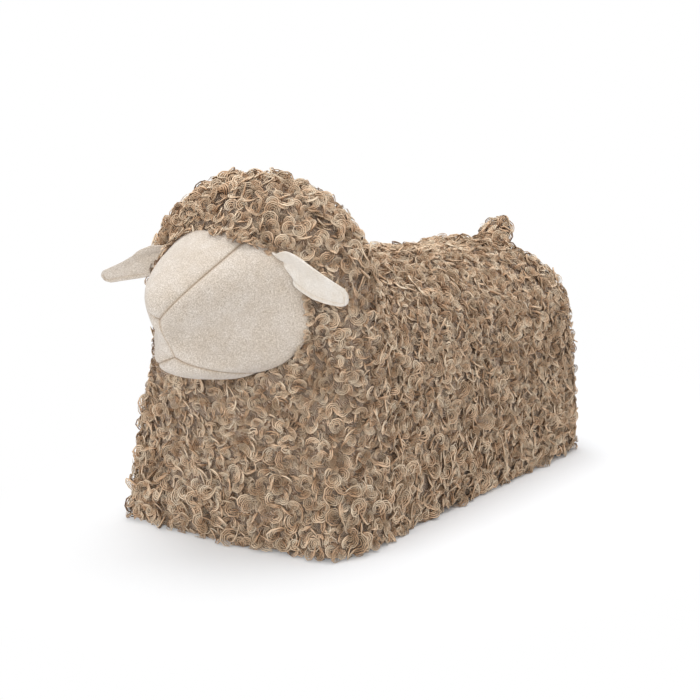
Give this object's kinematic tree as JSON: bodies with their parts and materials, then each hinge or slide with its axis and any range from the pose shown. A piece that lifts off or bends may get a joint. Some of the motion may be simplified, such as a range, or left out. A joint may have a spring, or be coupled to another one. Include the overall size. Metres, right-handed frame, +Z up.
{
  "type": "footstool",
  "caption": "Low sheep-shaped footstool without legs: curly fleece cover over foam and a plywood frame, cream felt face and two floppy felt ears.",
  "frame": {"origin": "on the floor under the middle of the whole footstool from nose to tail", "axes": "+Z up, the sheep faces -Y and its left flank is at +X"},
  "size_m": [0.3236, 0.7089, 0.3823],
  "materials": {
    "curly_fleece": "dense curly pile, matt",
    "cream_felt": "soft wool felt, matt",
    "padding_foam": null,
    "fibre_filling": "loose polyester fibre filling, stated as fabric",
    "birch_plywood": "raw plywood",
    "underside_cloth": "thin non-woven cloth",
    "glide_plastic": "smooth",
    "zinc_steel": "zinc plated"
  },
  "bodies": {
    "footstool": {"base_board": "birch_plywood", "base_screw_front_left": "zinc_steel", "base_screw_front_right": "zinc_steel", "base_screw_rear_left": "zinc_steel", "base_screw_rear_right": "zinc_steel", "body_foam": "padding_foam", "face_cheek_left": "cream_felt", "face_cheek_right": "cream_felt", "face_chin": "cream_felt", "face_filling": "fibre_filling", "face_forehead": "cream_felt", "fleece_back": "curly_fleece", "fleece_breast": "curly_fleece", "fleece_crown": "curly_fleece", "fleece_hem_band": "curly_fleece", "fleece_rump": "curly_fleece", "fleece_side_left": "curly_fleece", "fleece_side_right": "curly_fleece", "fleece_tail": "curly_fleece", "frame_front": "birch_plywood", "frame_rear": "birch_plywood", "frame_side_left": "birch_plywood", "frame_side_right": "birch_plywood", "glide_front_left": "glide_plastic", "glide_front_right": "glide_plastic", "glide_rear_left": "glide_plastic", "glide_rear_right": "glide_plastic", "head_foam": "padding_foam", "neck_post": "birch_plywood", "neck_screw_high": "zinc_steel", "neck_screw_low": "zinc_steel", "seat_board": "birch_plywood", "underside_cloth": "underside_cloth"},
    "ear_left": {"ear_left_front": "cream_felt", "ear_left_back": "cream_felt"},
    "ear_right": {"ear_right_front": "cream_felt", "ear_right_back": "cream_felt"}
  },
  "joints": [
    {"name": "ear_left_swing", "type": "hinge", "parent": "footstool", "child": "ear_left", "pos_m": [0.07475, -0.25578, 0.31015], "axis": [0.6674, 0.1437, -0.7307], "range_deg": [-12, 45], "stiffness_Nm_per_rad": 0.05},
    {"name": "ear_right_swing", "type": "hinge", "parent": "footstool", "child": "ear_right", "pos_m": [-0.07475, -0.25578, 0.31015], "axis": [0.6674, -0.1437, 0.7307], "range_deg": [-12, 45], "stiffness_Nm_per_rad": 0.05}
  ]
}
